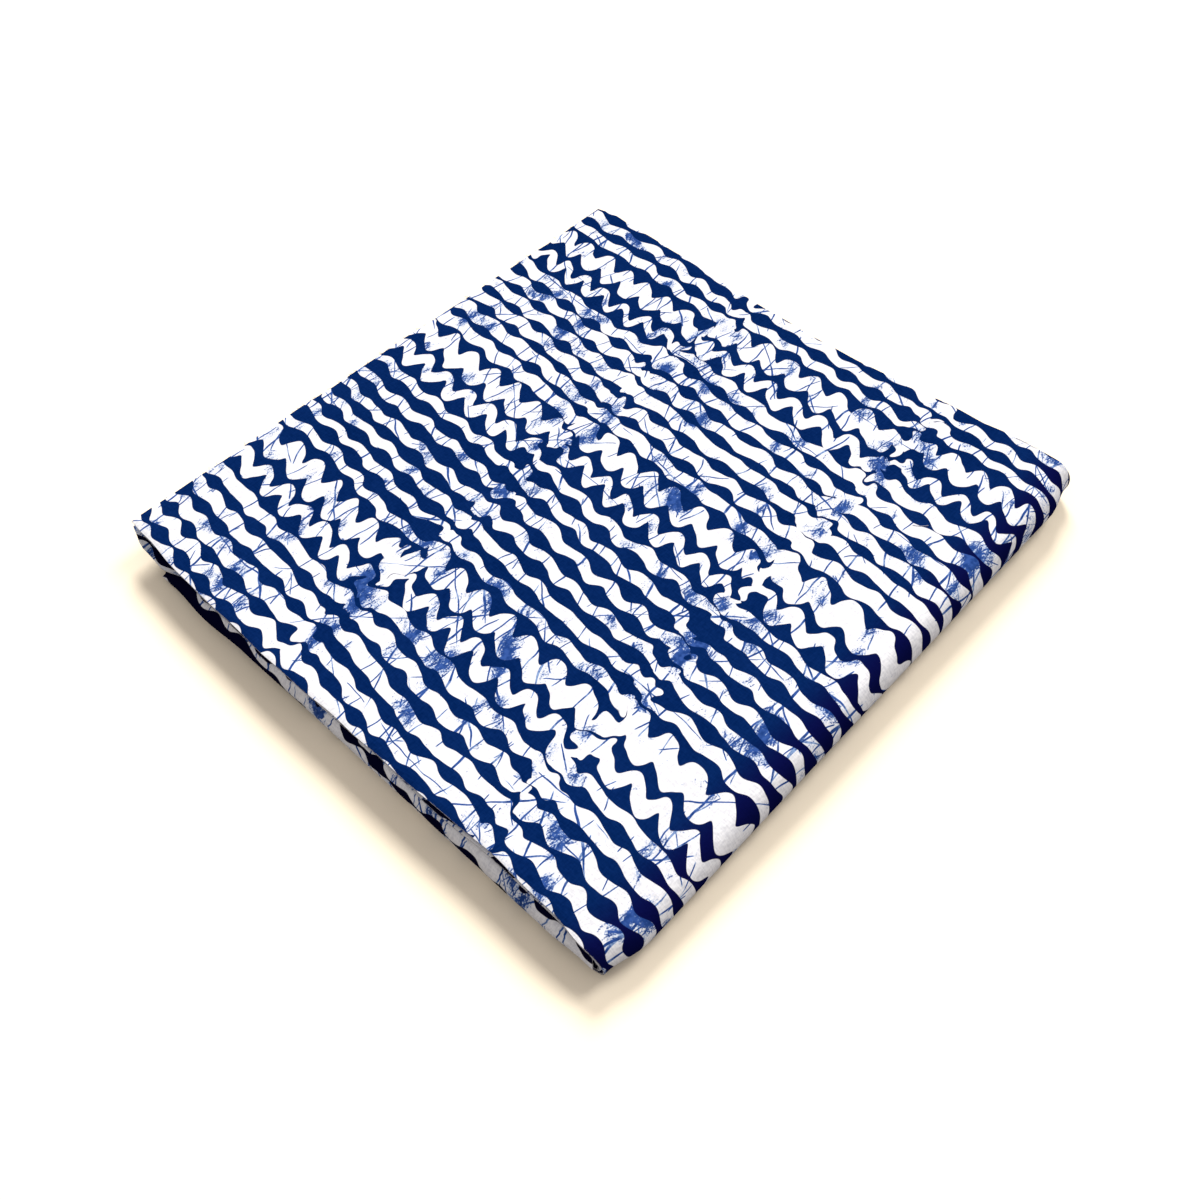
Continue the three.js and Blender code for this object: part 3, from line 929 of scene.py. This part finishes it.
floor_mesh = bpy.data.meshes.new("floor")
half = FLOOR_SIZE / 2
floor_mesh.from_pydata(
    [(-half, -half, 0), (half, -half, 0), (half, half, 0), (-half, half, 0)], [], [(0, 1, 2, 3)]
)
floor = add_object("floor", floor_mesh)
floor_material = bpy.data.materials.new("pale_floor")
floor_material.use_nodes = True
floor_surface = floor_material.node_tree.nodes["Principled BSDF"]
floor_surface.inputs["Roughness"].default_value = 0.9
floor_surface.inputs["Specular IOR Level"].default_value = 0.0
floor_tree = floor_material.node_tree
looked_at = floor_tree.nodes.new("ShaderNodeLightPath").outputs["Is Camera Ray"]
floor_colour = blend(floor_tree, Field(floor_tree, looked_at), FLOOR_GIVEN, FLOOR_SEEN)
floor_tree.links.new(floor_colour, floor_surface.inputs["Base Color"])
floor_mesh.materials.append(floor_material)

for i, window in enumerate(WINDOWS):
    window_data = bpy.data.lights.new(f"window_{i}", "SUN")
    window_data.energy = window["energy"]
    window_data.angle = math.radians(window["angle"])
    light = bpy.data.objects.new(f"window_{i}", window_data)
    light.rotation_euler = Vector(window["towards"]).to_track_quat("Z", "Y").to_euler()
    bpy.context.scene.collection.objects.link(light)

world = bpy.data.worlds.new("studio")
bpy.context.scene.world = world
world.use_nodes = True
world_nodes, world_links = world.node_tree.nodes, world.node_tree.links
room = world_nodes["Background"]
room.inputs["Color"].default_value = ROOM_COLOUR
room.inputs["Strength"].default_value = ROOM_LIGHT
backdrop = world_nodes.new("ShaderNodeBackground")
backdrop.inputs["Color"].default_value = BACKDROP_COLOUR
backdrop.inputs["Strength"].default_value = BACKDROP_LIGHT
path = world_nodes.new("ShaderNodeLightPath")
both = world_nodes.new("ShaderNodeMixShader")
world_links.new(path.outputs["Is Camera Ray"], both.inputs[0])
world_links.new(room.outputs[0], both.inputs[1])
world_links.new(backdrop.outputs[0], both.inputs[2])
world_links.new(both.outputs[0], world_nodes["World Output"].inputs["Surface"])

scene = bpy.context.scene
scene.view_settings.view_transform = "Standard"
scene.view_settings.look = "None"

# Camera, fitted to the pack's corners in the photograph

CAMERA_PLACE = np.array([237.0, -234.0, 406.0])
CAMERA_YAW, CAMERA_PITCH, CAMERA_ROLL = (math.radians(a) for a in (45.81, 54.16, -2.57))
CAMERA_SENSOR = 36.0
PHOTO_WIDTH, FOCAL_PIXELS = 1200, 1190

camera_data = bpy.data.cameras.new("camera")
camera_data.sensor_width = CAMERA_SENSOR
camera_data.lens = CAMERA_SENSOR * FOCAL_PIXELS / PHOTO_WIDTH
camera = bpy.data.objects.new("camera", camera_data)
level = math.cos(CAMERA_PITCH)
forward_x, forward_y = -math.sin(CAMERA_YAW) * level, math.cos(CAMERA_YAW) * level
forward = Vector((forward_x, forward_y, -math.sin(CAMERA_PITCH)))
right = Vector((math.cos(CAMERA_YAW), math.sin(CAMERA_YAW), 0.0))
up = right.cross(forward)
rolled_right = right * math.cos(CAMERA_ROLL) + up * math.sin(CAMERA_ROLL)
rolled_up = up * math.cos(CAMERA_ROLL) - right * math.sin(CAMERA_ROLL)
turned = Matrix((rolled_right, rolled_up, -forward)).transposed().to_4x4()
camera.matrix_world = Matrix.Translation(Vector((CAMERA_PLACE + TO_FRAME) * MM)) @ turned
bpy.context.scene.collection.objects.link(camera)
scene.camera = camera
